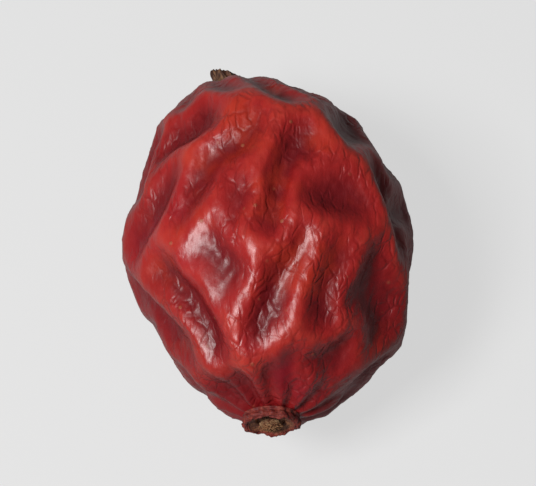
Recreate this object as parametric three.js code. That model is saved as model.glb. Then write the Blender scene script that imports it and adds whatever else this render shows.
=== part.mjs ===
// A dried rose hip: the wrinkled, leathery fruit of a dog rose, lying on its side as picked.
//
// The fruit is one solid. At its calyx end it carries the dry collar that the sepals fell from, with the
// withered styles standing in the middle as a small woolly tuft. At the other end is the short stub of the
// stalk it was picked from.
//
// Frame, in millimetres: +Y runs along the fruit from the calyx end to the stalk end, +X is across it and
// +Z is up. The origin lies on the surface the hip rests on, under the middle of its bounding box.

import * as THREE from "three";

// ---- Driving dimensions -------------------------------------------------------------------------------

const FRUIT_LENGTH = 16.2; // along Y, before its ends are flattened under the collar and the stalk
const FRUIT_WIDTH = 13.0; // along X
const FRUIT_HEIGHT = 12.1; // along Z, before the underside is flattened
const CALYX_TAPER = 1.85; // exponent of the outline towards the calyx: 2 is an ellipse, less is more pointed
const STALK_TAPER = 2.05; // the same towards the stalk, where the fruit is blunter
const CALYX_SHIFT = 0.1; // how far the calyx end lies to +X of the fruit's middle
const STALK_SHIFT = -1.7; // the same for the stalk end, which lies to -X
const REST_FLAT_DEPTH = 0.5; // how much of the underside has dried flat where the fruit lay
const CALYX_SEAT_DEPTH = 0.2; // how much of the calyx end is flat, under the collar
const STALK_SEAT_DEPTH = 0.08; // how much of the stalk end is flat, under the stub

const COLLAR_RADIUS = 1.3;
const COLLAR_HEIGHT = 0.42;
const PIT_RADIUS = 0.68; // the round pit in the middle of the collar
const PIT_FLOOR = 0.12; // how high the floor of the pit is above the collar's base
const TUFT_RADIUS = 0.56;
const TUFT_HEIGHT = 0.36;
const STALK_RADIUS = 0.58;
const STALK_LENGTH = 0.85;
const STALK_LEAN = 0.4; // how far the stub leans over to -X for each millimetre of its length
const SEAT_GAP = 0.08; // clearance between a piece and what it sits on

const FRUIT_SEGMENTS = { around: 84, along: 42 };
const SMALL_SEGMENTS = 40; // round the collar, the tuft and the stub

// The skin has sunk into hollows as the flesh under it dried, and the folds are what stands between them.
// The hollows lie in rows round the fruit; along is -1 at the calyx end and 1 at the stalk end.
const HOLLOW_ROWS = [
  { along: -0.8, count: 8 },
  { along: -0.42, count: 13 },
  { along: 0.02, count: 15 },
  { along: 0.44, count: 13 },
  { along: 0.82, count: 8 },
];
const HOLLOW_DEPTH = 0.62;
const HOLLOW_HALF_WIDTH = 1.3;
const HOLLOW_HALF_LENGTH = 2.1;
const HOLLOW_SCATTER = 0.3; // how far a hollow strays from its place in the row, as a share of its size
const SMOOTH_END = 0.94; // the skin is smooth beyond this place along the fruit, round each end
const WRINKLED_END = 0.72; // and fully wrinkled up to this one
const FOLD_SHARPNESS = 4.5; // how tightly the skin turns over a fold

// ---- The fruit ----------------------------------------------------------------------------------------

// The half width of the outline as a share of the widest: 1 in the middle and 0 at the ends.
function outline(along) {
  const taper = along < 0 ? CALYX_TAPER : STALK_TAPER;
  return Math.max(0, 1 - Math.abs(along) ** taper) ** (1 / taper);
}

// The middle of the fruit bows from the calyx end over to the stalk end.
function middleShift(along) {
  return (along < 0 ? CALYX_SHIFT : STALK_SHIFT) * along * along;
}

// A point of the unwrinkled skin.
function smoothSkin(along, turn, inset = 0) {
  const width = outline(along);
  return new THREE.Vector3(
    Math.cos(turn) * ((FRUIT_WIDTH / 2) * width - inset) + middleShift(along),
    (along * FRUIT_LENGTH) / 2,
    Math.sin(turn) * ((FRUIT_HEIGHT / 2) * width - inset),
  );
}

function hollowCentres() {
  const centres = [];
  HOLLOW_ROWS.forEach(({ along, count }, row) => {
    for (let place = 0; place < count; place++) {
      const stray = THREE.MathUtils.seededRandom() - 0.5;
      const slip = THREE.MathUtils.seededRandom() - 0.5;
      const turn = ((place + (row % 2) / 2 + 2 * HOLLOW_SCATTER * stray) / count) * 2 * Math.PI;
      centres.push(smoothSkin(along + HOLLOW_SCATTER * slip, turn));
    }
  });
  return centres;
}

THREE.MathUtils.seededRandom(11);
const hollows = hollowCentres();

// How far the skin has sunk at a point: most in the middle of a hollow and nothing on the folds. The
// distances to all the hollows are blended, so the skin turns smoothly over a fold.
function sunk(point) {
  let nearness = 0;
  for (const centre of hollows) {
    const across = Math.hypot(point.x - centre.x, point.z - centre.z) / HOLLOW_HALF_WIDTH;
    const along = (point.y - centre.y) / HOLLOW_HALF_LENGTH;
    nearness += Math.exp(-FOLD_SHARPNESS * (across * across + along * along));
  }
  const distance = Math.min(1, -Math.log(nearness) / FOLD_SHARPNESS);
  return HOLLOW_DEPTH * (1 - distance);
}

const calyxSeat = -FRUIT_LENGTH / 2 + CALYX_SEAT_DEPTH;
const stalkSeat = FRUIT_LENGTH / 2 - STALK_SEAT_DEPTH;
const underside = -FRUIT_HEIGHT / 2 + REST_FLAT_DEPTH;

function fruitGeometry() {
  const geometry = new THREE.SphereGeometry(1, FRUIT_SEGMENTS.around, FRUIT_SEGMENTS.along);
  const position = geometry.getAttribute("position");
  for (let i = 0; i < position.count; i++) {
    const along = THREE.MathUtils.clamp(position.getY(i), -1, 1);
    const turn = Math.atan2(position.getZ(i), position.getX(i));
    const wrinkled = 1 - THREE.MathUtils.smoothstep(Math.abs(along), WRINKLED_END, SMOOTH_END);
    const inset = sunk(smoothSkin(along, turn)) * wrinkled;
    const point = smoothSkin(along, turn, inset);
    const y = THREE.MathUtils.clamp(point.y, calyxSeat, stalkSeat);
    position.setXYZ(i, point.x, y, Math.max(point.z, underside));
  }
  return geometry;
}

// ---- The small pieces at the ends ---------------------------------------------------------------------

// A closed solid turned about Y from a profile of [radius, height] points, which starts and ends on the
// axis. shape(angle, height) gives the share by which radius and height change round the piece.
function turned(profile, shape) {
  const points = profile.map(([radius, height]) => new THREE.Vector2(radius, height));
  const geometry = new THREE.LatheGeometry(points, SMALL_SEGMENTS);
  const position = geometry.getAttribute("position");
  for (let i = 0; i < position.count; i++) {
    const x = position.getX(i);
    const y = position.getY(i);
    const z = position.getZ(i);
    const onAxis = Math.hypot(x, z) < 1e-6;
    const [wider, taller] = onAxis ? [1, 1] : shape(Math.atan2(z, x), y);
    position.setXYZ(i, x * wider, y * taller, z * wider);
  }
  return geometry;
}

// The collar is a low ring with a flat base. Its rim is worn down to the scars of five sepals, and inside
// it the dry disc slopes to the pit that the styles stand in.
function collarGeometry() {
  const r = COLLAR_RADIUS;
  const h = COLLAR_HEIGHT;
  const pitEdge = 0.62 * h;
  const profile = [
    [0, 0],
    [0.82 * r, 0],
    [0.96 * r, 0.2 * h],
    [1.0 * r, 0.55 * h],
    [0.96 * r, 0.86 * h],
    [0.88 * r, 1.0 * h],
    [0.79 * r, 0.94 * h],
    [0.7 * r, 0.8 * h],
    [0.62 * r, 0.74 * h],
    [PIT_RADIUS, pitEdge],
    [PIT_RADIUS, PIT_FLOOR],
    [0, PIT_FLOOR],
  ];
  return turned(profile, (angle, height) => {
    const fiveLobes = Math.cos(5 * angle + 0.4);
    const uneven = Math.cos(2 * angle + 1.1);
    const upTheRim = Math.max(0, height - pitEdge) / (h - pitEdge);
    const wider = height > PIT_FLOOR ? 1 + 0.035 * fiveLobes : 1;
    return [wider, 1 + upTheRim * (0.09 * fiveLobes + 0.05 * uneven)];
  });
}

// The styles have dried together into a small woolly dome in the pit.
function tuftGeometry() {
  const r = TUFT_RADIUS;
  const h = TUFT_HEIGHT;
  const profile = [
    [0, 0],
    [0.85 * r, 0],
    [0.98 * r, 0.3 * h],
    [1.0 * r, 0.55 * h],
    [0.88 * r, 0.78 * h],
    [0.6 * r, 0.94 * h],
    [0.3 * r, 0.99 * h],
    [0, 1.0 * h],
  ];
  return turned(profile, (angle) => [1 + 0.03 * Math.cos(7 * angle), 1 + 0.05 * Math.cos(3 * angle)]);
}

// The stub swells where it meets the fruit, is ribbed along its length, leans over to one side and ends
// in a slanting break.
function stalkGeometry() {
  const r = STALK_RADIUS;
  const l = STALK_LENGTH;
  const profile = [
    [0, 0],
    [1.45 * r, 0],
    [1.5 * r, 0.1 * l],
    [1.25 * r, 0.28 * l],
    [1.05 * r, 0.5 * l],
    [1.0 * r, 0.8 * l],
    [0.92 * r, 0.97 * l],
    [0, 1.0 * l],
  ];
  const geometry = turned(profile, (angle) => [1 + 0.06 * Math.cos(6 * angle), 1 - 0.1 * Math.cos(angle)]);
  const leanOver = new THREE.Matrix4().makeShear(0, 0, -STALK_LEAN, 0, 0, 0);
  return geometry.applyMatrix4(leanOver);
}

// ---- Assembly -----------------------------------------------------------------------------------------

function piece(name, geometry, colour, roughness) {
  const material = new THREE.MeshStandardMaterial({ color: colour, roughness, metalness: 0 });
  const mesh = new THREE.Mesh(geometry, material);
  mesh.name = name;
  return mesh;
}

const hip = new THREE.Group();

hip.add(piece("fruit", fruitGeometry(), 0x9c2a24, 0.4));

// The calyx end looks along -Y, so what stands on it is turned over.
const calyxEnd = new THREE.Group();
calyxEnd.position.set(CALYX_SHIFT, calyxSeat - SEAT_GAP, 0);
calyxEnd.rotation.x = Math.PI;
calyxEnd.add(piece("calyx_collar", collarGeometry(), 0x5a3524, 0.8));
const tuft = piece("style_tuft", tuftGeometry(), 0xa88a62, 0.9);
tuft.position.y = PIT_FLOOR + SEAT_GAP;
calyxEnd.add(tuft);
hip.add(calyxEnd);

const stalk = piece("stalk_stub", stalkGeometry(), 0x6e4a33, 0.85);
stalk.position.set(STALK_SHIFT, stalkSeat + SEAT_GAP, 0);
hip.add(stalk);

// The part's own frame: the middle of the box at its base becomes the origin.
hip.updateMatrixWorld(true);
const box = new THREE.Box3().setFromObject(hip, true);
hip.position.set(-(box.min.x + box.max.x) / 2, -(box.min.y + box.max.y) / 2, -box.min.z);

const part = new THREE.Group();
part.add(hip);

export default part;
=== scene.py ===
"""A dried rose hip lying on its side, as picked: the wrinkled fruit, the dry calyx collar with the woolly
styles in it, and the stub of the stalk."""

import math

import bmesh
import bpy
import numpy as np
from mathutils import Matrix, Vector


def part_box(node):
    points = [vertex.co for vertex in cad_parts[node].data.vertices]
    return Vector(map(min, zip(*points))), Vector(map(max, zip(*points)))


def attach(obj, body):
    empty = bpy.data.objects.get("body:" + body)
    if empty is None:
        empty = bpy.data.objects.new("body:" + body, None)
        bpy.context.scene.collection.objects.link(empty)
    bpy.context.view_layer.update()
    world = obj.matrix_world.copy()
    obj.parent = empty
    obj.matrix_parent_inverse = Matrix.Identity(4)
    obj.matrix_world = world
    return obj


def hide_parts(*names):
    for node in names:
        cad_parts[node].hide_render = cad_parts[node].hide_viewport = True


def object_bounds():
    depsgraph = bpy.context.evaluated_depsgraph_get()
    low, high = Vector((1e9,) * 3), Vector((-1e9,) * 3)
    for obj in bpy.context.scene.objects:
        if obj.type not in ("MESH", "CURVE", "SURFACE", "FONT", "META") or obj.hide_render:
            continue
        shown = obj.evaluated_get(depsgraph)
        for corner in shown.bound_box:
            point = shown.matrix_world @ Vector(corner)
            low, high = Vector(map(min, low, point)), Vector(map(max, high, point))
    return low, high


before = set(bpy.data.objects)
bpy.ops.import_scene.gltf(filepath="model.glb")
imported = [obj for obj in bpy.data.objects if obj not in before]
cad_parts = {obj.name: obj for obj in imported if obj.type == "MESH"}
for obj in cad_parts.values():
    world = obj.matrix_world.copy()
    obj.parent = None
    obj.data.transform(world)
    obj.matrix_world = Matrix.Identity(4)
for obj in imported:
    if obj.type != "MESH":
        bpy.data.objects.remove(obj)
cad_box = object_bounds()

MM = 0.001


# ---- Fruit --------------------------------------------------------------------------------------------
# The fruit is the fleshy cup of the rose, dried to a leathery skin over its seeds. The skin didn't shrink
# with the flesh under it, so it buckled into folds that run along the fruit and together at both ends.

# The form of the dried flesh. Lengths are from its middle.
HALF_LENGTH = 8.1 * MM    # to the whole tips, which the seats of the collar and the stalk cut off
HALF_HEIGHT = 6.05 * MM   # before the underside is flattened
CALYX_SEAT = 7.9 * MM     # where the fruit ends under the collar
STALK_SEAT = 8.02 * MM    # and under the stub
UNDERSIDE = 5.55 * MM     # where the fruit has dried flat against what it lay on
UNDERSIDE_EDGE = 0.2 * MM  # how softly the skin turns into that flat
CALYX_TAPER = 1.85        # exponent of the outline towards the calyx: less than 2 is more pointed
STALK_TAPER = 2.05        # the same towards the stalk
CALYX_SHIFT = 0.1 * MM    # how far each end lies to the side of the fruit's middle
STALK_SHIFT = -1.7 * MM

# The drying that folds the skin.
SKIN_DIVISIONS = 6        # how often the triangles of the ball that it starts from are divided
SPARE_ROUND = 0.14        # how much more skin there is than the dried flesh needs, round the fruit
SPARE_ALONG = 0.11        # and along it
SKIN_HOLD = 0.36          # how firmly the flesh holds the skin to its own shape: less gives deeper folds
HOLD_UNEVENNESS = 0.25    # how much that changes from place to place
END_HOLD = 0.6            # the hold at the two ends, where the skin is grown to the collar and the stalk
SKIN_STIFFNESS = 160      # against bending: more gives broader folds
SKIN_UNEVENNESS = 0.003   # what the folds start from, as a share of the fruit's size
FOLD_SEED = 21            # and its pattern
DRYING_FRAMES = 26        # the flesh shrinks until this frame
FRAMES = 55               # and the skin settles until this one
FORM_KEPT = 0.8           # how much of the fruit's own form the seeds inside keep, under the folds
FORM_ROUNDS = 150         # rounds of spreading out that leave only the form, and none of the folds
FOLD_ROUNDS = 120         # the same on the finer mesh, to tell the folds from what they stand on
SOFTENED = 2              # rounds in which the folds are softened, as the wax on the skin rounds them

# The fine relief on the folds, in millimetres.
CREASE_DEPTH = 0.03       # of the creases along the fruit
GRAIN_DEPTH = 0.008
CALYX_PLEATS = 13         # how many pleats run together at the collar
CALYX_PLEAT_DEPTH = 0.11
STALK_PLEATS = 11         # and at the stalk
STALK_PLEAT_DEPTH = 0.07


def waves(points, spacing, seed, drawn_out=1.0, count=30):
    """A smooth uneven value at each point, mostly between -1 and 1: the sum of count cosine waves in
    scattered directions, each spacing long. drawn_out stretches the pattern along Y."""
    rng = np.random.default_rng(seed)
    direction = rng.normal(size=(3, count))
    direction /= np.linalg.norm(direction, axis=0)
    direction[1] /= drawn_out
    phase = rng.uniform(0, 2 * math.pi, count)
    return np.cos(points @ direction * (2 * math.pi / spacing) + phase).sum(-1) / math.sqrt(count)


def smoothstep(value, low, high):
    """0 at low, 1 at high, and an S-shaped ramp between them, which falls where low is the greater."""
    share = np.clip((value - low) / (high - low), 0, 1)
    return share * share * (3 - 2 * share)


def read_points(mesh):
    """A mesh's points as an array."""
    points = np.zeros(3 * len(mesh.vertices))
    mesh.vertices.foreach_get("co", points)
    return points.reshape(-1, 3)


def read_edges(mesh):
    """The two point numbers of each of a mesh's edges."""
    edges = np.zeros(2 * len(mesh.edges), int)
    mesh.edges.foreach_get("vertices", edges)
    return edges.reshape(-1, 2)


def outline(along):
    """Half width of the fruit as a share of its widest: a superellipse, more pointed to the calyx."""
    taper = np.where(along < 0, CALYX_TAPER, STALK_TAPER)
    return np.maximum(0, 1 - np.abs(along) ** taper) ** (1 / taper)


def sideways(along):
    """How far the fruit's middle bows to the side: by the end's shift times the square of the place."""
    return np.where(along < 0, CALYX_SHIFT, STALK_SHIFT) * along ** 2


def flesh_points(ball, size):
    """Where each point of a ball of radius 1 lies on the dried flesh. The ball's Y is the place along the
    fruit, the outline gives the width there, and the middle bows to the side."""
    along = ball[:, 1]
    across = ball[:, [0, 2]] / np.maximum(np.hypot(ball[:, 0], ball[:, 2]), 1e-9)[:, None]
    width = across * outline(along)[:, None] * np.array([size[0] / 2, HALF_HEIGHT])
    return np.stack([width[:, 0] + sideways(along), along * HALF_LENGTH, width[:, 1]], -1)


def over_outline(points, size):
    """How far each point lies outside the smooth outline, and the way straight out from the axis there."""
    along = np.clip(points[:, 1] / HALF_LENGTH, -1, 1)
    out = points[:, [0, 2]] - np.stack([sideways(along), 0 * along], -1)
    distance = np.hypot(out[:, 0], out[:, 1] * size[0] / 2 / HALF_HEIGHT)
    away = out / np.maximum(np.hypot(out[:, 0], out[:, 1]), 1e-9)[:, None]
    return distance - outline(along) * size[0] / 2, away


def buckled(skin, flesh, hold):
    """Where the points of a skin mesh end up when the flesh dries. The skin is a cloth whose points are
    drawn to their places on the flesh, each as firmly as its hold, while those places move in from the
    skin's own size to the dried one. The cloth can't shrink with them, so it folds."""
    metre = 100.0            # the simulation's length for a metre, at which the solver is steady
    scene = bpy.context.scene
    skin.vertices.foreach_set("co", (read_points(skin) * metre).ravel())
    sheet = bpy.data.objects.new("drying_skin", skin)
    scene.collection.objects.link(sheet)
    sheet.shape_key_add(name="full")
    dried = sheet.shape_key_add(name="dried")
    dried.data.foreach_set("co", (flesh * metre).ravel())
    for share, number in [(0, 1), (1, DRYING_FRAMES)]:
        dried.value = share
        dried.keyframe_insert("value", frame=number)

    held = sheet.vertex_groups.new(name="held")
    level = np.round(hold * 100)
    for step in np.unique(level):
        held.add(np.flatnonzero(level == step).tolist(), step / 100, "REPLACE")
    drying = sheet.modifiers.new("drying", "CLOTH")
    drying.collision_settings.use_collision = False
    cloth = drying.settings
    cloth.quality = 5
    cloth.mass = 0.3
    cloth.air_damping = 2
    cloth.tension_stiffness = cloth.compression_stiffness = cloth.shear_stiffness = 40
    cloth.bending_stiffness = SKIN_STIFFNESS
    cloth.tension_damping = cloth.compression_damping = cloth.shear_damping = 5
    cloth.bending_damping = 0.5
    cloth.vertex_group_mass = "held"
    cloth.pin_stiffness = 1
    cloth.effector_weights.gravity = 0
    for number in range(1, FRAMES + 1):
        scene.frame_set(number)
    graph = bpy.context.evaluated_depsgraph_get()
    points = read_points(sheet.evaluated_get(graph).to_mesh()) / metre
    scene.frame_set(1)
    sheet.shape_key_clear()
    bpy.data.objects.remove(sheet)
    return points


def divided(points, mesh):
    """The points, faces, edges and normals of a mesh of these points after one smooth subdivision."""
    mesh.vertices.foreach_set("co", points.ravel())
    coarse = bpy.data.objects.new("coarse_skin", mesh)
    bpy.context.scene.collection.objects.link(coarse)
    finer = coarse.modifiers.new("finer", "SUBSURF")
    finer.levels = finer.render_levels = 1
    fine = coarse.evaluated_get(bpy.context.evaluated_depsgraph_get()).to_mesh()
    faces = np.zeros(4 * len(fine.polygons), int)
    fine.polygons.foreach_get("vertices", faces)
    normals = np.zeros(3 * len(fine.vertices))
    fine.vertex_normals.foreach_get("vector", normals)
    result = read_points(fine), faces.reshape(-1, 4), read_edges(fine), normals.reshape(-1, 3)
    bpy.data.objects.remove(coarse)
    return result


def smoothed(value, edges, rounds):
    """The value at each point of a mesh, spread out: each round replaces it by the mean over the point
    itself and its neighbours."""
    start = np.concatenate([edges[:, 0], edges[:, 1]])
    end = np.concatenate([edges[:, 1], edges[:, 0]])
    count = 1 + np.bincount(start, minlength=len(value))
    for _ in range(rounds):
        value = (value + np.bincount(start, value[end], len(value))) / count
    return value


def dried_skin(size):
    """Points, faces and edges of the skin, and its normals. A ball of even triangles is laid on the flesh
    with the skin to spare, and buckled as the flesh dries. How far it then stands outside the smooth
    outline, spread out until no fold is left in it, is mostly taken off again, which brings back the
    fruit's own form. Then the folds are softened, and the triangles divided once more."""
    ball = bmesh.new()
    bmesh.ops.create_icosphere(ball, subdivisions=SKIN_DIVISIONS, radius=1)
    skin = bpy.data.meshes.new("skin")
    ball.to_mesh(skin)
    ball.free()
    place = read_points(skin)
    flesh = flesh_points(place, size)
    at_ends = smoothstep(np.abs(place[:, 1]), 0.75, 1.0)
    spare = np.array([SPARE_ROUND, SPARE_ALONG, SPARE_ROUND])
    spare = spare * (1 - smoothstep(np.abs(place[:, 1:2]), 0.6, 1.0))
    uneven = np.random.default_rng(FOLD_SEED).normal(0, SKIN_UNEVENNESS, (len(place), 1))
    skin.vertices.foreach_set("co", (flesh * (1 + spare) * (1 + uneven)).ravel())
    hold = SKIN_HOLD * (1 + HOLD_UNEVENNESS * waves(place, 1.2, seed=14))
    hold = hold * (1 - at_ends) + END_HOLD * at_ends
    points = buckled(skin, flesh, np.clip(hold, 0.15, 0.9))
    edges = read_edges(skin)
    height, away = over_outline(points, size)
    points[:, [0, 2]] -= FORM_KEPT * smoothed(height, edges, FORM_ROUNDS)[:, None] * away
    points = np.stack([smoothed(axis, edges, SOFTENED) for axis in points.T], -1)
    return divided(points, skin)


def fold_height(points, edges, size):
    """How far, in millimetres, each point stands out from the skin round it: its height over the smooth
    outline, less the same height spread out over the neighbourhood."""
    height = over_outline(points, size)[0] / MM
    return height - smoothed(height, edges, FOLD_ROUNDS)


def fine_relief(points, size):
    """How far out the skin stands at each point, in millimetres, beyond its folds: creases along the fruit,
    a fine grain, and the pleats that run together at the collar and the stalk."""
    mm = points / MM
    along = points[:, 1] / HALF_LENGTH
    turn = np.arctan2(points[:, 2] / size[2], (points[:, 0] - sideways(along)) / size[0])
    middle = 1 - smoothstep(np.abs(along), 0.9, 0.99)
    crease = 1 - np.minimum(1, np.abs(waves(mm, 0.8, seed=8, drawn_out=3.0)) * 2.4)
    grain = waves(mm, 0.42, seed=22, drawn_out=1.4)
    by_calyx = smoothstep(-along, 0.72, 0.9) * smoothstep(-along, 1.0, 0.95)
    by_stalk = smoothstep(along, 0.8, 0.93) * smoothstep(along, 1.0, 0.96)
    uneven = 1.2 * waves(mm, 5.0, seed=23)
    return (middle * (CREASE_DEPTH * crease + GRAIN_DEPTH * grain)
            + CALYX_PLEAT_DEPTH * by_calyx * np.cos(CALYX_PLEATS * turn + uneven)
            + STALK_PLEAT_DEPTH * by_stalk * np.cos(STALK_PLEATS * turn + uneven))


def rested(height, floor, softness):
    """Heights with those below the floor pressed up to it: softness times the logarithm of 1 plus e to the
    height over the floor in softnesses, which is the height itself far above and the floor far below."""
    return floor + softness * np.logaddexp(0, (height - floor) / softness)


def add_mesh(name, points, face_groups, values=None):
    """A smooth-shaded mesh object at the origin, with a value at each point for each name in values."""
    mesh = bpy.data.meshes.new(name)
    faces = [face for group in face_groups for face in group.tolist()]
    mesh.from_pydata(points.tolist(), [], faces)
    mesh.polygons.foreach_set("use_smooth", np.ones(len(faces), bool))
    for key, value in (values or {}).items():
        attribute = mesh.attributes.new(key, "FLOAT", "POINT")
        attribute.data.foreach_set("value", value.astype(np.float32))
    mesh.update()
    piece = bpy.data.objects.new(name, mesh)
    bpy.context.scene.collection.objects.link(piece)
    return piece


def fit_to_box(points, node, grown_in=(0, 0)):
    """Moves and stretches the points so that they fill the box of a node, which may reach a little further
    along Y: by the first of grown_in below it, and the second above it."""
    low, high = (np.array(corner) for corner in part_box(node))
    low[1] -= grown_in[0]
    high[1] += grown_in[1]
    least = points.reshape(-1, 3).min(0)
    most = points.reshape(-1, 3).max(0)
    return low + (points - least) / (most - least) * (high - low)


class Value:
    """A value or colour in a material. Arithmetic on it adds Math nodes, and add() adds any other node."""

    def __init__(self, tree, socket):
        self.tree = tree
        self.socket = socket

    def add(self, kind, settings=None, inputs=None, output=0):
        """Adds a node of a kind, gives it its settings and then its inputs, and returns one output."""
        node = self.tree.nodes.new("ShaderNode" + kind)
        for key, setting in (settings or {}).items():
            setattr(node, key, setting)
        for key, given in (inputs or {}).items():
            if isinstance(given, Value):
                self.tree.links.new(given.socket, node.inputs[key])
            else:
                node.inputs[key].default_value = given
        return Value(self.tree, node.outputs[output])

    def math(self, operation, first, second):
        """One Math node."""
        return self.add("Math", {"operation": operation}, {0: first, 1: second})

    def __add__(self, other):
        return self.math("ADD", self, other)

    __radd__ = __add__

    def __sub__(self, other):
        return self.math("SUBTRACT", self, other)

    def __rsub__(self, other):
        return self.math("SUBTRACT", other, self)

    def __mul__(self, other):
        return self.math("MULTIPLY", self, other)

    __rmul__ = __mul__

    def ramp(self, low, high):
        """0 at low, 1 at high, and an S-shaped ramp between them, which falls where low is the greater."""
        return self.add("MapRange", {"interpolation_type": "SMOOTHSTEP"},
                        {"Value": self, "From Min": low, "From Max": high})

    def between(self, first, second):
        """The colour this far of the way from the first to the second. The Mix node takes colours on its
        sockets 6 and 7, and gives one on its output 2."""
        return self.add("Mix", {"data_type": "RGBA"}, {0: self, 6: first, 7: second}, 2)

    def scaled(self, size, stretch):
        """This position in units of size, which are longer along the stretched axes."""
        scale = tuple(1 / (size * drawn) for drawn in stretch)
        return self.add("VectorMath", {"operation": "MULTIPLY"}, {0: self, 1: scale})

    def noise(self, size, detail=3.0, roughness=0.55, stretch=(1, 1, 1)):
        """Cloudy noise on this position, with features of about size, longer along the stretched axes."""
        return self.add("TexNoise", {}, {"Vector": self.scaled(size, stretch), "Scale": 1.0,
                                         "Detail": detail, "Roughness": roughness})

    def cells(self, size, stretch, waviness):
        """How far this position is from the nearest border of uneven cells of about size, drawn out along
        the stretched axes: 0 on the border. Their borders wind by waviness times their size."""
        wind = self.add("TexNoise", {}, {"Vector": self, "Scale": 0.5 / size, "Detail": 2.0}, 1)
        wound = self.add("VectorMath", {"operation": "MULTIPLY_ADD"},
                         {0: wind, 1: (waviness * size,) * 3, 2: self})
        return self.add("TexVoronoi", {"feature": "DISTANCE_TO_EDGE"},
                        {"Vector": wound.scaled(size, stretch), "Scale": 1.0})

    def on_points(self, name):
        """The value that the mesh holds at each point under a name."""
        return self.add("Attribute", {"attribute_name": name}, {}, "Fac")


def new_material(name, constants):
    """A material with one Principled shader, whose constants are set on its own sockets. Returns the
    material, its position on the piece as a Value, and the shader."""
    material = bpy.data.materials.new(name)
    material.use_nodes = True
    tree = material.node_tree
    shader = tree.nodes["Principled BSDF"]
    for key, constant in constants.items():
        shader.inputs[key].default_value = constant
    coordinates = tree.nodes.new("ShaderNodeTexCoord")
    return material, Value(tree, coordinates.outputs["Object"]), shader


def feed(value, shader, name):
    """Links a value to a named socket of the shader, or of another node."""
    value.tree.links.new(value.socket, shader.inputs[name])


def emboss(relief, shader, strength, depth):
    """Feeds the shader's normal with the slopes of a relief, which stands depth high where its value is 1.
    strength is how much of those slopes shows."""
    bump = relief.add("Bump", {}, {"Height": relief, "Strength": strength, "Distance": depth})
    feed(bump, shader, "Normal")


def colour(red, green, blue):
    """A linear colour from an sRGB one in the range 0 to 255."""
    levels = np.array([red, green, blue]) / 255
    linear = np.where(levels <= 0.04045, levels / 12.92, ((levels + 0.055) / 1.055) ** 2.4)
    return (*linear.tolist(), 1.0)


def hip_skin_material():
    """Waxy dried skin: wine red in the hollows, crimson on the slopes and brighter on the folds, which is
    partly the skin's own colour and partly painted shade in the hollows and a painted highlight on the
    folds. It is darker towards the underside and the flanks, which is painted shade. It has orange-brown
    and raspberry patches, fine crinkles drawn out along the fruit, and a few corky specks."""
    material, place, shader = new_material("dried_hip_skin", {
        "Specular IOR Level": 0.32, "Subsurface Weight": 0.1, "Subsurface Scale": 0.5 * MM,
        "Subsurface Radius": (1.0, 0.25, 0.15), "Coat Roughness": 0.28,
    })
    fold = place.on_points("fold")
    cloud = place.noise(3.2 * MM)
    patch = place.noise(5.5 * MM, detail=2)
    mottle = place.noise(0.5 * MM, detail=5, roughness=0.65, stretch=(1, 1.8, 1))
    crinkled = place.noise(2.2 * MM).ramp(0.38, 0.62)
    crinkle = place.cells(0.42 * MM, stretch=(1, 2.4, 1), waviness=1.2).ramp(0.2, 0.0) * crinkled
    specks = place.add("TexVoronoi", {"feature": "F1"}, {"Vector": place, "Scale": 1 / (0.9 * MM)})
    corky = specks.ramp(0.13, 0.05) * place.noise(2.5 * MM).ramp(0.46, 0.58)

    height = fold + (mottle - 0.5) * 0.3
    hollow_wine_and_painted_shade, crimson, fold_red_and_painted_highlight = colour(104, 12, 18), colour(156, 31, 30), colour(190, 62, 48)
    # Partly painted light: the hollows darken as painted shade and the folds brighten as a painted
    # highlight, on top of the skin's own deeper colour in the hollows.
    skin = height.ramp(-0.28, 0.16).between(hollow_wine_and_painted_shade, crimson)
    skin = (height.ramp(0.06, 0.36) * 0.7).between(skin, fold_red_and_painted_highlight)
    orange_brown, raspberry, dark_wine = colour(180, 50, 26), colour(150, 18, 42), colour(104, 11, 16)
    skin = (cloud.ramp(0.52, 0.7) * 0.5).between(skin, orange_brown)
    skin = (patch.ramp(0.55, 0.7) * 0.4).between(skin, raspberry)
    skin = (cloud.ramp(0.46, 0.3) * 0.45).between(skin, dark_wine)
    # Painted shade: the skin darkens to maroon the lower it lies above the floor, so the underside and the
    # flanks look turned away from the lamp.
    height_for_painted_shade = place.add("SeparateXYZ", {}, {"Vector": place}, "Z") + (patch - 0.5) * (4 * MM)
    painted_shade_maroon, crack_brown, cork = colour(110, 13, 20), colour(84, 8, 14), colour(150, 88, 58)
    skin = (height_for_painted_shade.ramp(10 * MM, 5.5 * MM) * 0.65).between(skin, painted_shade_maroon)
    skin = (crinkle * 0.25).between(skin, crack_brown)
    skin = (corky * 0.6).between(skin, cork)
    feed(skin, shader, "Base Color")

    feed(0.4 + (mottle - 0.5) * 0.35 - fold * 0.06 + corky * 0.25, shader, "Roughness")
    feed(0.15 + (cloud - 0.5) * 0.3, shader, "Coat Weight")

    grain = place.noise(0.14 * MM, roughness=0.6, stretch=(1, 1.5, 1))
    lines = place.noise(0.3 * MM, detail=4, roughness=0.6, stretch=(1, 4, 1))
    emboss(lines * 0.8 + grain * 0.35 + corky * 0.6 - crinkle * 0.8, shader, 0.5, 0.07 * MM)
    return material


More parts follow.
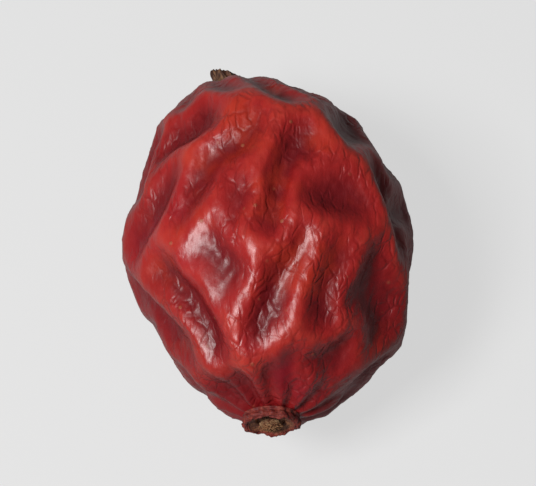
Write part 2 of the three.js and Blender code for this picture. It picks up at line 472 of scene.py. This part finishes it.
fruit_low, fruit_high = (np.array(corner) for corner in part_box("fruit"))
fruit_size = fruit_high - fruit_low
fruit_points, fruit_faces, fruit_edges, fruit_normals = dried_skin(fruit_size)
fold = fold_height(fruit_points, fruit_edges, fruit_size)
fruit_points += fruit_normals * (fine_relief(fruit_points, fruit_size) * MM)[:, None]
fruit_points[:, 1] = np.clip(fruit_points[:, 1], -CALYX_SEAT, STALK_SEAT)
fruit_points[:, 2] = rested(fruit_points[:, 2], -UNDERSIDE, UNDERSIDE_EDGE)
fruit = add_mesh("fruit_skin", fit_to_box(fruit_points, "fruit"), [fruit_faces], {"fold": fold})
fruit.data.materials.append(hip_skin_material())
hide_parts("fruit")
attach(fruit, "root")


# ---- Calyx collar -------------------------------------------------------------------------------------
# The collar is the dry rim that the five sepals fell from, brown and ragged, and inside it the flat woody
# disc that slopes to the pit. It is grown to the end of the fruit.

GROWN_IN = 0.14 * MM      # how far the collar, like the stub, reaches back to the skin it is grown to

# Radius and height in millimetres, from the middle of the base out, up the side, over the rim and down to
# the floor of the pit.
COLLAR_OUTLINE = [(0, 0), (0.8, -0.02), (1.2, 0.0), (1.38, 0.1), (1.33, 0.34), (1.42, 0.62), (1.37, 0.86),
                  (1.25, 0.98), (1.14, 0.92), (1.06, 0.78), (0.94, 0.7), (0.82, 0.66), (0.74, 0.54),
                  (0.71, 0.36), (0.6, 0.24), (0.3, 0.2), (0, 0.2)]
SEPALS = 5                # each left a scar in the rim
SIDE_PLEATS = 17
DISC_LINES = 31


def closed_round(rows):
    """The faces of a grid of points wound round an axis: rows[i] holds one ring, and the first and last
    rings are each one point repeated, so they close in a fan. Returns the kept points and the faces."""
    count, around = rows.shape[:2]
    points = np.concatenate([rows[:1, 0], rows[1:-1].reshape(-1, 3), rows[-1:, 0]])
    ring = np.arange(1, 1 + (count - 2) * around).reshape(count - 2, around)
    beside = np.roll(ring, -1, axis=1)
    quads = np.stack([ring[:-1], beside[:-1], beside[1:], ring[1:]], -1).reshape(-1, 4)
    first = np.stack([np.zeros(around, int), beside[0], ring[0]], -1)
    last = np.stack([np.full(around, len(points) - 1), ring[-1], beside[-1]], -1)
    return points, [quads, first, last]


def kept_values(values):
    """The values of such a grid at the points that closed_round keeps."""
    return np.concatenate([values[:1, 0], values[1:-1].ravel(), values[-1:, 0]])


def smooth_curve(points, steps):
    """A smooth curve through the points, with the same number of steps between each two: a Catmull-Rom
    spline, whose direction at a point is that from the point before it to the point after it."""
    points = np.array(points, float)
    padded = np.concatenate([points[:1], points, points[-1:]])
    before, start, end, after = padded[:-3], padded[1:-2], padded[2:-1], padded[3:]
    t = np.linspace(0, 1, steps, endpoint=False)[None, :, None]
    before, start, end, after = (part[:, None] for part in (before, start, end, after))
    curve = 0.5 * (2 * start + (end - before) * t + (2 * before - 5 * start + 4 * end - after) * t ** 2
                   + (3 * start - before - 3 * end + after) * t ** 3)
    return np.concatenate([curve.reshape(-1, points.shape[1]), points[-1:]])


def turned_piece(profile, around):
    """Radius, height and angle on a grid: the profile's (radius, height) carried round in a circle."""
    angle = np.linspace(0, 2 * math.pi, around, endpoint=False)[None, :]
    return profile[:, :1] + 0 * angle, profile[:, 1:] + 0 * angle, angle + 0 * profile[:, :1]


def stood_on(radius, height, angle, direction):
    """Points of a turned piece whose axis runs along Y in a direction: 1 towards the stalk end and -1
    towards the calyx end. The angle runs the way that keeps the faces pointing out."""
    return np.stack([radius * np.cos(angle), direction * height, -direction * radius * np.sin(angle)], -1)


def collar_surface():
    """Points of the collar, with how far each is towards the disc. The outline is turned about Y, its rim
    torn into five low scars, its side pleated and its disc lined from the middle outwards. step is the
    place along the outline, 0 at the base and 1 in the pit, and tells the side, rim and disc apart."""
    radius, height, angle = turned_piece(smooth_curve(COLLAR_OUTLINE, 8), 260)
    step = np.linspace(0, 1, len(radius))[:, None]
    rim = np.exp(-((step - 0.47) / 0.09) ** 2)
    side = smoothstep(step, 0.14, 0.24) * smoothstep(step, 0.5, 0.36)
    disc = smoothstep(step, 0.52, 0.6) * smoothstep(step, 0.82, 0.7)
    ring = np.stack([np.cos(angle), 3.0 * step + 0 * angle, np.sin(angle)], -1)
    scars = np.cos(SEPALS * angle + 0.4)
    torn = waves(ring, 0.35, seed=31) + 0.6 * waves(ring, 0.16, seed=32)
    pleats = np.cos(SIDE_PLEATS * angle + 1.5 * waves(ring, 1.6, seed=33))
    lines = np.cos(DISC_LINES * angle + 2.2 * waves(ring, 0.9, seed=34))
    height = height + rim * (0.09 * scars + 0.07 * torn) + disc * 0.022 * lines
    radius = radius * (1 + side * (0.035 * scars + 0.03 * pleats + 0.015 * torn) + rim * 0.03 * scars)
    rows = stood_on(radius, height, angle, -1)
    return fit_to_box(rows, "calyx_collar", (0, GROWN_IN)), smoothstep(step, 0.48, 0.6) + 0 * angle


def collar_material():
    """Dull dry rind: wine brown outside, darker in the cracks, and a paler brown disc."""
    material, place, shader = new_material("dry_calyx_rind", {"Specular IOR Level": 0.35})
    mottle = place.noise(0.28 * MM, detail=5, roughness=0.65)
    fibre = place.noise(0.12 * MM, detail=4, roughness=0.6)
    side = mottle.ramp(0.35, 0.65).between(colour(92, 22, 22), colour(132, 52, 40))
    disc = mottle.ramp(0.32, 0.68).between(colour(100, 52, 38), colour(156, 104, 72))
    rind = place.on_points("inside").between(side, disc)
    rind = (fibre.ramp(0.5, 0.36) * 0.6).between(rind, colour(54, 22, 17))
    feed(rind, shader, "Base Color")
    feed(0.62 + (mottle - 0.5) * 0.4, shader, "Roughness")
    emboss(fibre + mottle, shader, 0.6, 0.06 * MM)
    return material


collar_rows, inside = collar_surface()
collar_points, collar_faces = closed_round(collar_rows)
collar = add_mesh("calyx_rind", collar_points, collar_faces, {"inside": kept_values(inside)})
collar.data.materials.append(collar_material())
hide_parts("calyx_collar")
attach(collar, "root")


# ---- Style tuft ---------------------------------------------------------------------------------------
# The styles are the withered threads of the flower. They come up through the pit in the disc, matted
# together in their own wool, and each ends in a small darker knob.

WOOL_OUTLINE = [(0, 0), (0.5, 0), (0.6, 0.2), (0.5, 0.45), (0.25, 0.58), (0, 0.6)]  # as the collar's
STYLE_COUNT = 110
STYLE_THICKNESS = 0.075   # in millimetres, as the other lengths of the threads
STYLE_LENGTH = 0.80       # in the middle of the tuft
STYLE_SEED = 40


def one_style(number, rng):
    """Points of one thread: a tube along a bent path that starts in the pit, leans outwards and curls
    over at the top of the dome. Its radius swells to a knob near its end."""
    share = math.sqrt((number + 0.5) / STYLE_COUNT)
    turn = number * math.pi * (3 - math.sqrt(5)) + rng.uniform(-0.3, 0.3)
    length = STYLE_LENGTH - 0.42 * share ** 2 + rng.uniform(-0.08, 0.08)
    curl = rng.uniform(-1.2, 1.2)
    t = np.linspace(0, 1, 14)[:, None]
    out = share * (0.40 + 0.22 * t ** 1.5)
    bend = turn + curl * 0.5 * t ** 2
    sway = 0.05 * np.sin(t * rng.uniform(4, 8) + rng.uniform(0, 6))
    path = np.concatenate([out * np.cos(bend) + sway, -length * t, out * np.sin(bend) + sway], -1)
    swell = 1 + 0.9 * np.exp(-((t - 0.93) / 0.05) ** 2)
    radius = STYLE_THICKNESS / 2 * swell * np.sqrt(np.clip((1 - t) * 30, 0, 1) * np.clip(t * 30, 0, 1))
    around = np.linspace(0, 2 * math.pi, 8, endpoint=False)[None, :]
    ring = np.stack([np.cos(around), 0 * around, np.sin(around)], -1)
    return path[:, None] + radius[..., None] * ring, t + 0 * around


def joined(pieces):
    """Several pieces of points and faces as one."""
    starts = np.cumsum([0] + [len(points) for points, _ in pieces])
    faces = [group + start for (_, groups), start in zip(pieces, starts) for group in groups]
    return np.concatenate([points for points, _ in pieces]), faces


def tuft_threads():
    """Points and faces of the wool's dome and all the threads, with how near each point is to a tip."""
    rng = np.random.default_rng(STYLE_SEED)
    dome = stood_on(*turned_piece(smooth_curve(WOOL_OUTLINE, 6), 60), -1)
    felt = waves(dome, 0.14, seed=41)
    dome[1:-1] *= (1 + 0.07 * felt[1:-1])[..., None]
    pieces = [closed_round(dome)]
    tips = [np.zeros(len(pieces[0][0]))]
    for number in range(STYLE_COUNT):
        rows, tip = one_style(number, rng)
        pieces.append(closed_round(rows))
        tips.append(kept_values(tip))
    points, faces = joined(pieces)
    return fit_to_box(points, "style_tuft"), faces, np.concatenate(tips)


def tuft_material():
    """Matt beige wool and threads, with painted shade that darkens them down in the pit, and brown at the
    knobs.
    """
    material, place, shader = new_material(
        "withered_styles", {"Roughness": 0.9, "Specular IOR Level": 0.15})
    tip = place.on_points("tip")
    mottle = place.noise(0.2 * MM, detail=4, roughness=0.6)
    # Painted shade: the wool and the feet of the threads down in the pit are dark brown, and the threads
    # grow paler towards their tips.
    thread = tip.ramp(0.1, 0.75).between(colour(76, 40, 28), colour(176, 124, 88))
    thread = (mottle.ramp(0.4, 0.66) * 0.5).between(thread, colour(200, 164, 122))
    thread = (tip.ramp(0.86, 0.93) * 0.75).between(thread, colour(96, 62, 40))
    feed(thread, shader, "Base Color")
    emboss(place.noise(0.06 * MM), shader, 0.5, 0.03 * MM)
    return material


tuft_points, tuft_faces, tip = tuft_threads()
tuft = add_mesh("withered_styles", tuft_points, tuft_faces, {"tip": tip})
tuft.data.materials.append(tuft_material())
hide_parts("style_tuft")
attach(tuft, "root")


# ---- Stalk stub ---------------------------------------------------------------------------------------
# The stub is what is left of the woody stalk. It is grown to the fruit in a swollen foot, has shrunk to
# ribs along its length, and ends in a slanting break with paler pith inside.

# Radius and height in millimetres, from the middle of the foot out, up the side and over the break.
STUB_OUTLINE = [(0, 0), (0.7, -0.02), (0.96, 0.02), (1.0, 0.1), (0.86, 0.24), (0.72, 0.42), (0.66, 0.7),
                (0.65, 1.0), (0.6, 1.12), (0.5, 1.16), (0.36, 1.08), (0.18, 1.04), (0, 1.06)]
RIB_DEPTH = 0.16          # as a share of the radius
STUB_SLANT = 0.1          # how far the break rises to one side and falls to the other, in millimetres
STUB_LEAN = 0.35          # how far the stub leans over for each millimetre of its height


def stub_surface():
    """Points of the stub, with how far each is into the break. The outline is turned about Y, ribbed,
    torn at the end, and leant over to one side. step is the place along the outline, 0 at the foot and 1
    in the middle of the break."""
    radius, height, angle = turned_piece(smooth_curve(STUB_OUTLINE, 9), 160)
    step = np.linspace(0, 1, len(radius))[:, None]
    side = smoothstep(step, 0.12, 0.3) * smoothstep(step, 0.82, 0.66)
    end = smoothstep(step, 0.6, 0.72) * smoothstep(step, 1.0, 0.86)
    ring = np.stack([np.cos(angle), 0.5 * height, np.sin(angle)], -1)
    end_ring = ring * np.array([1, 0.1, 1])
    ribs = np.abs(np.cos(4.5 * angle + 0.9 * waves(ring, 1.3, seed=51)))
    torn = waves(end_ring, 0.22, seed=52) + 0.7 * waves(end_ring, 0.1, seed=53)
    radius = radius * (1 - RIB_DEPTH * side * ribs + 0.03 * waves(ring, 0.5, seed=54) * side)
    height = height + end * 0.07 * torn - end * STUB_SLANT * np.cos(angle)
    rows = stood_on(radius, height, angle, 1)
    rows[..., 0] -= STUB_LEAN * height
    return fit_to_box(rows, "stalk_stub", (GROWN_IN, 0)), smoothstep(step, 0.72, 0.82) + 0 * angle


def stub_material():
    """Dull brown bark with grey-brown ribs, and pale fibres in the break."""
    material, place, shader = new_material("dry_stalk_bark", {"Specular IOR Level": 0.3})
    along = place.noise(0.16 * MM, detail=5, roughness=0.6, stretch=(1, 5, 1))
    mottle = place.noise(0.5 * MM, detail=4)
    bark = along.ramp(0.35, 0.65).between(colour(58, 34, 24), colour(126, 92, 66))
    bark = (mottle.ramp(0.5, 0.66) * 0.5).between(bark, colour(92, 40, 30))
    pith = along.ramp(0.3, 0.7).between(colour(110, 82, 56), colour(186, 158, 118))
    feed(place.on_points("broken").between(bark, pith), shader, "Base Color")
    feed(0.66 + (along - 0.5) * 0.4, shader, "Roughness")
    emboss(along + mottle * 0.5, shader, 0.6, 0.06 * MM)
    return material


stub_rows, broken = stub_surface()
stub_points, stub_faces = closed_round(stub_rows)
stub = add_mesh("stalk_end", stub_points, stub_faces, {"broken": kept_values(broken)})
stub.data.materials.append(stub_material())
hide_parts("stalk_stub")
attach(stub, "root")


# ---- Floor, light and camera --------------------------------------------------------------------------
# The hip lies on a plain pale surface. One soft lamp stands above it, a little to the left and to the
# front, and a weak white sky fills the shadows.

FLOOR_HALF_SIDE = 0.6     # in metres, as all lengths in this section but one
FLOOR_GREY = 0.37
SEEN_WHITE = 0.63         # how much of the floor that the camera sees is plain white, and not its shading
GLOSS_WHITE = 0.03        # and how much of the floor and backdrop that shows in the gloss of the skin
BACKDROP_WHITE = 0.57     # how bright the camera sees what is beyond the floor
SKY_STRENGTH = 0.09       # how bright the sky is as a light
KEY_FROM = (-0.55, -0.35, 1.0)  # the direction that the lamp stands in
KEY_DISTANCE = 0.14
KEY_SIDE = 0.045
KEY_POWER = 0.22          # in watts
CAMERA_ELEVATION = math.radians(65)
CAMERA_LENS = 180         # focal length in millimetres
CAMERA_FILL = 0.74        # how much of the picture's height the hip takes up
PICTURE_SHAPE = 486 / 536  # its height over its width

middle = (np.array(cad_box[0]) + np.array(cad_box[1])) / 2
longest = max(np.array(cad_box[1]) - np.array(cad_box[0]))


def seen_only(tree, in_view, in_gloss):
    """A value that is in_view for what the camera sees, in_gloss for what shows in gloss, and 0 for the
    light that falls on the hip."""
    rays = tree.nodes.new("ShaderNodeLightPath")
    return (Value(tree, rays.outputs["Is Camera Ray"]) * in_view
            + Value(tree, rays.outputs["Is Glossy Ray"]) * in_gloss)


def add_floor():
    """A flat square at the height that the hip rests on. The camera sees it partly as plain white, so it's
    pale and still holds the hip's shadow."""
    corners = np.array([[-1, -1, 0], [1, -1, 0], [1, 1, 0], [-1, 1, 0]]) * FLOOR_HALF_SIDE
    floor = add_mesh("floor", corners, [np.array([[0, 1, 2, 3]])])
    grey = (FLOOR_GREY,) * 3 + (1,)
    material, place, shader = new_material(
        "white_surface", {"Base Color": grey, "Roughness": 0.8, "Specular IOR Level": 0.1})
    white = place.add("Emission", {}, {"Color": (1, 1, 1, 1), "Strength": 1.0})
    surface = Value(place.tree, shader.outputs[0])
    share = seen_only(place.tree, SEEN_WHITE, GLOSS_WHITE)
    mixed = place.add("MixShader", {}, {0: share, 1: surface, 2: white})
    feed(mixed, place.tree.nodes["Material Output"], "Surface")
    floor.data.materials.append(material)


def look_from(direction):
    """The turn that makes a lamp or camera out in that direction look back at the middle."""
    across = math.hypot(direction[0], direction[1])
    return (math.atan2(across, direction[2]), 0, math.atan2(direction[0], -direction[1]))


def add_key_light():
    """A square area lamp that looks at the hip."""
    lamp = bpy.data.lights.new("key", "AREA")
    lamp.size = KEY_SIDE
    lamp.energy = KEY_POWER
    light = bpy.data.objects.new("key", lamp)
    direction = np.array(KEY_FROM) / np.linalg.norm(KEY_FROM)
    light.location = middle + direction * KEY_DISTANCE
    light.rotation_euler = look_from(direction)
    bpy.context.scene.collection.objects.link(light)


def add_camera():
    """A camera in front of the hip and above it, far enough away that the hip, foreshortened by the
    elevation, takes up its share of the picture's height."""
    data = bpy.data.cameras.new("camera")
    data.lens = CAMERA_LENS
    data.clip_start = 1 * MM
    camera = bpy.data.objects.new("camera", data)
    direction = np.array([0, -math.cos(CAMERA_ELEVATION), math.sin(CAMERA_ELEVATION)])
    picture_height = data.sensor_width * PICTURE_SHAPE
    distance = longest * math.sin(CAMERA_ELEVATION) / CAMERA_FILL * CAMERA_LENS / picture_height
    camera.location = middle + direction * distance
    camera.rotation_euler = look_from(direction)
    bpy.context.scene.collection.objects.link(camera)
    bpy.context.scene.camera = camera


def add_sky():
    """A weak white sky all round, which the camera sees about as bright as the floor."""
    world = bpy.data.worlds.new("studio")
    world.use_nodes = True
    sky = world.node_tree.nodes["Background"]
    sky.inputs["Color"].default_value = (1, 1, 1, 1)
    feed(seen_only(world.node_tree, BACKDROP_WHITE, GLOSS_WHITE) + SKY_STRENGTH, sky, "Strength")
    bpy.context.scene.world = world


add_floor()
add_key_light()
add_camera()
add_sky()
bpy.context.scene.view_settings.view_transform = "Standard"
